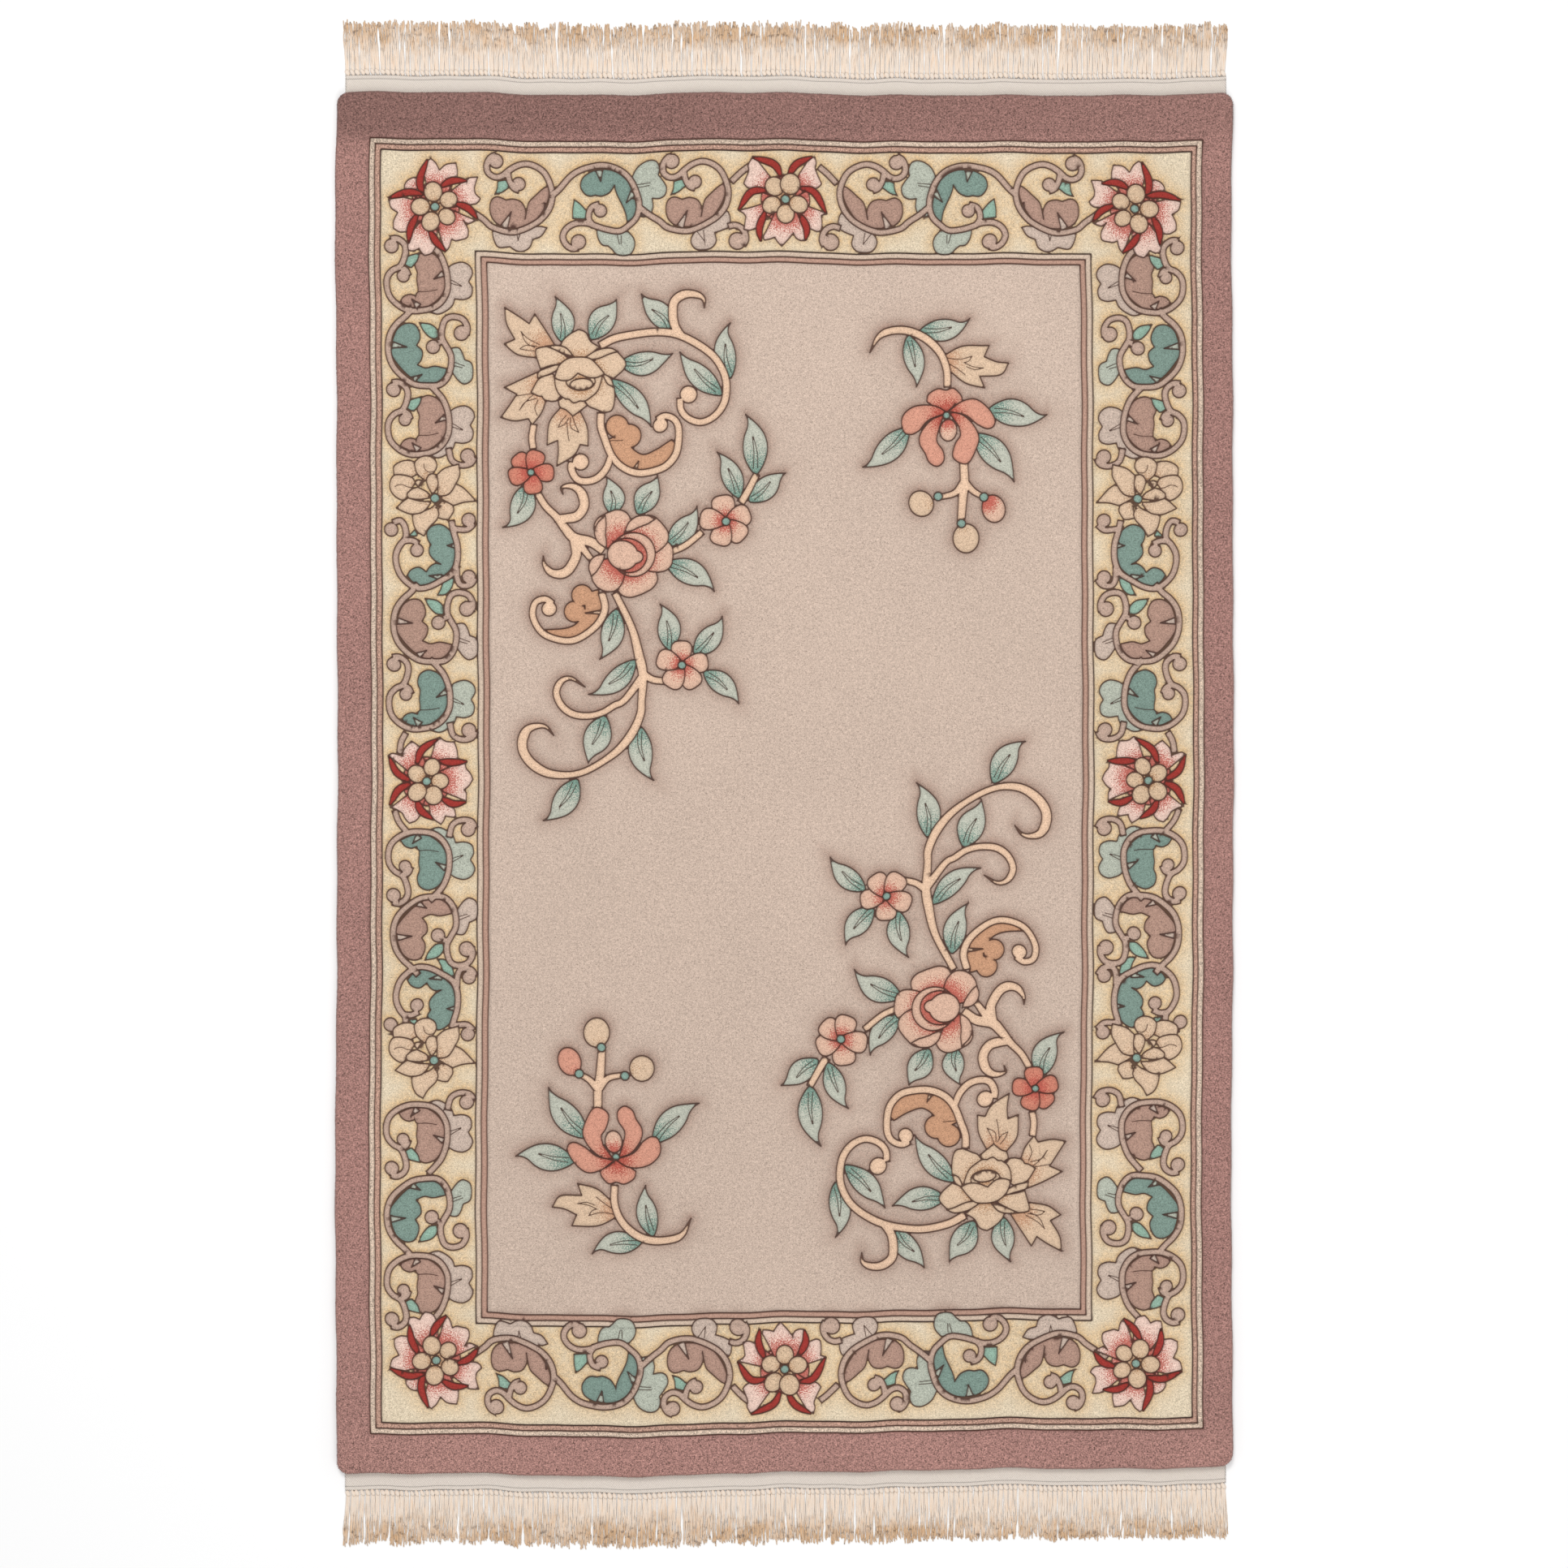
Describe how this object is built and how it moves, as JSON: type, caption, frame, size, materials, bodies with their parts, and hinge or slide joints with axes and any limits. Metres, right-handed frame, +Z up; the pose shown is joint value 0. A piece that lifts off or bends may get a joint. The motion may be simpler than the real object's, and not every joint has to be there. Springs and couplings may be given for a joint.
{
  "type": "hand-knotted rug",
  "caption": "Rectangular hand-knotted wool rug with carved floral pile, a scroll border and knotted cotton fringe at both ends, for covering a floor.",
  "frame": {"origin": "middle of the rug's outline, fringe included, on the floor that it lies on", "axes": "+X across the rug, +Y along its length to the end that is at the top of the picture, +Z up out of the pile"},
  "size_m": [1.2183, 2.0577, 0.015],
  "materials": {
    "wool_pile": "cut wool pile, carved round its pattern, matt",
    "cotton_warp": "undyed cotton, flat-woven and knotted into fringe, matt"
  },
  "bodies": {
    "root": {"rug_pile": "wool_pile", "end_web_top": "cotton_warp", "end_web_low": "cotton_warp"}
  },
  "joints": []
}
